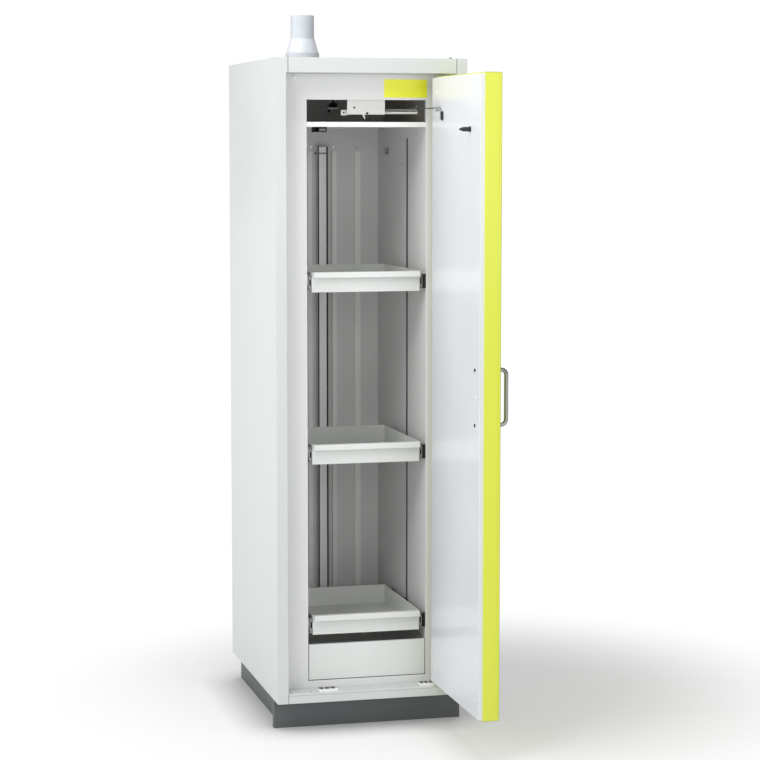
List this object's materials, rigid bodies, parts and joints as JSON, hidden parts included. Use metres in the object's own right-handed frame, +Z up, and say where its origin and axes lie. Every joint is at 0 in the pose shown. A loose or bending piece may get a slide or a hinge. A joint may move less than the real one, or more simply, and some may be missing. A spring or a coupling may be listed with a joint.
{
  "type": "flammable safety cabinet",
  "caption": "Tall narrow fire-resistant storage cabinet with a self-closing hinged door, pull-out trays, a collecting sump and a roof exhaust spigot.",
  "frame": {"origin": "on the floor, under the centre of the casing's 600 mm by 770 mm plan", "axes": "+Z up, +X to the right seen from the front, front faces -Y; door shown open at 90 degrees"},
  "size_m": [0.6, 1.276, 2.216],
  "materials": {
    "casing_grey": "powder-coated sheet steel, fine smooth texture, semi-matt",
    "insulation": "mineral insulation board, counted at about 600 kg/m3",
    "lining_grey": "grey coated lining sheet, matt",
    "shelf_board": "white coated board, satin",
    "dark_steel": "blackened steel",
    "profile_white": "white coated profile",
    "rib_grey": "grey coated flat ribs",
    "plinth_grey": "dark grey powder coat, matt",
    "zinc_steel": "zinc-plated steel",
    "white_plastic": "white moulded plastic",
    "black_plastic": "black moulded plastic",
    "plate_yellow": "bare yellow plastic film",
    "strip_rubber": "dark grey fire-swelling strip",
    "door_yellow": "lemon yellow powder coat, semi-gloss",
    "door_white": "white powder coat, semi-gloss",
    "handle_grey": "satin silver-grey metal",
    "bolt_black": "black bolt heads with hex sockets",
    "closer_grey": "light grey coated steel plate",
    "runner_steel": "black-plated steel runners",
    "tray_white": "light grey-white powder coat, semi-matt",
    "sump_white": "light grey-white powder coat, semi-matt",
    "spigot_plastic": "pale blue-grey moulded plastic",
    "flap_steel": "bare steel"
  },
  "bodies": {
    "cabinet": {"casing_left": "casing_grey", "casing_right": "casing_grey", "casing_top": "casing_grey", "casing_rear": "casing_grey", "casing_floor": "casing_grey", "top_fascia": "casing_grey", "bottom_rail": "casing_grey", "front_frame": "casing_grey", "side_insulation": "insulation", "rear_insulation": "insulation", "roof_insulation": "insulation", "floor_insulation": "insulation", "liner_left": "lining_grey", "liner_right": "lining_grey", "liner_rear": "lining_grey", "liner_floor": "lining_grey", "top_shelf": "shelf_board", "side_channels": "dark_steel", "rear_profile": "profile_white", "rear_strips": "rib_grey", "plinth_frame": "plinth_grey", "plinth_panel": "plinth_grey", "sill_blocks": "white_plastic", "catch_receiver": "black_plastic", "blank_plate": "plate_yellow", "intumescent_strips": "strip_rubber", "hinge_pins": "zinc_steel", "closer_rail": "closer_grey", "closer_plate": "closer_grey", "runner_outers": "runner_steel", "exhaust_spigot": "spigot_plastic", "exhaust_duct": "zinc_steel", "panel_screws": "zinc_steel", "roof_cap": "black_plastic"},
    "door": {"door_skin": "door_yellow", "door_inner_panel": "door_white", "door_core": "insulation", "hinge_bushes": "zinc_steel", "door_handle": "handle_grey", "handle_bolts": "bolt_black", "door_catch": "black_plastic", "door_caps": "white_plastic", "closer_bracket": "dark_steel"},
    "closer_rod": {"closer_rod": "dark_steel"},
    "release_lever": {"release_lever": "closer_grey"},
    "sump": {"sump_tray": "sump_white"},
    "damper_flap": {"damper_flap": "flap_steel"},
    "upper_tray": {"upper_tray": "tray_white", "runner_inner_upper": "runner_steel"},
    "upper_runner": {"runner_middle_upper": "runner_steel"},
    "middle_tray": {"middle_tray": "tray_white", "runner_inner_middle": "runner_steel"},
    "middle_runner": {"runner_middle_middle": "runner_steel"},
    "lower_tray": {"lower_tray": "tray_white", "runner_inner_lower": "runner_steel"},
    "lower_runner": {"runner_middle_lower": "runner_steel"},
    "levelling_foot_fl": {"levelling_foot_fl": "zinc_steel"},
    "levelling_foot_fr": {"levelling_foot_fr": "zinc_steel"},
    "levelling_foot_rl": {"levelling_foot_rl": "zinc_steel"},
    "levelling_foot_rr": {"levelling_foot_rr": "zinc_steel"}
  },
  "joints": [
    {"name": "door_hinge", "type": "hinge", "parent": "cabinet", "child": "door", "pos_m": [0.2495, -0.3785, 1.07], "axis": [0, 0, 1], "range_deg": [-90, 0]},
    {"name": "closer_rod_pivot", "type": "hinge", "parent": "door", "child": "closer_rod", "pos_m": [0.1845, -0.4645, 1.9185], "axis": [0, 0, 1], "range_deg": [0, 85.9]},
    {"name": "release_lever_pivot", "type": "hinge", "parent": "cabinet", "child": "release_lever", "pos_m": [0.0045, -0.298, 1.904], "axis": [0, 1, 0], "range_deg": [-18, 18], "stiffness_Nm_per_rad": 0.02},
    {"name": "upper_tray_slide", "type": "slide", "parent": "cabinet", "child": "upper_tray", "axis": [0, -1, 0], "range_m": [0, 0.4]},
    {"name": "upper_runner_slide", "type": "slide", "parent": "cabinet", "child": "upper_runner", "axis": [0, -1, 0], "range_m": [0, 0.2]},
    {"name": "middle_tray_slide", "type": "slide", "parent": "cabinet", "child": "middle_tray", "axis": [0, -1, 0], "range_m": [0, 0.4]},
    {"name": "middle_runner_slide", "type": "slide", "parent": "cabinet", "child": "middle_runner", "axis": [0, -1, 0], "range_m": [0, 0.2]},
    {"name": "lower_tray_slide", "type": "slide", "parent": "cabinet", "child": "lower_tray", "axis": [0, -1, 0], "range_m": [0, 0.4]},
    {"name": "lower_runner_slide", "type": "slide", "parent": "cabinet", "child": "lower_runner", "axis": [0, -1, 0], "range_m": [0, 0.2]},
    {"name": "sump_slide", "type": "slide", "parent": "cabinet", "child": "sump", "axis": [0, -1, 0], "range_m": [0, 0.45]},
    {"name": "damper_flap_shaft", "type": "hinge", "parent": "cabinet", "child": "damper_flap", "pos_m": [-0.13, 0.015, 2.03], "axis": [1, 0, 0], "range_deg": [0, 90]},
    {"name": "levelling_foot_fl_screw", "type": "hinge", "parent": "cabinet", "child": "levelling_foot_fl", "pos_m": [-0.225, -0.26, 0.07], "axis": [0, 0, 1], "continuous": true},
    {"name": "levelling_foot_fr_screw", "type": "hinge", "parent": "cabinet", "child": "levelling_foot_fr", "pos_m": [0.225, -0.26, 0.07], "axis": [0, 0, 1], "continuous": true},
    {"name": "levelling_foot_rl_screw", "type": "hinge", "parent": "cabinet", "child": "levelling_foot_rl", "pos_m": [-0.225, 0.325, 0.07], "axis": [0, 0, 1], "continuous": true},
    {"name": "levelling_foot_rr_screw", "type": "hinge", "parent": "cabinet", "child": "levelling_foot_rr", "pos_m": [0.225, 0.325, 0.07], "axis": [0, 0, 1], "continuous": true}
  ],
  "couplings": [
    {"joint": "closer_rod_pivot", "follows": "door_hinge", "ratio": -0.94308},
    {"joint": "upper_runner_slide", "follows": "upper_tray_slide", "ratio": 0.5},
    {"joint": "middle_runner_slide", "follows": "middle_tray_slide", "ratio": 0.5},
    {"joint": "lower_runner_slide", "follows": "lower_tray_slide", "ratio": 0.5}
  ]
}
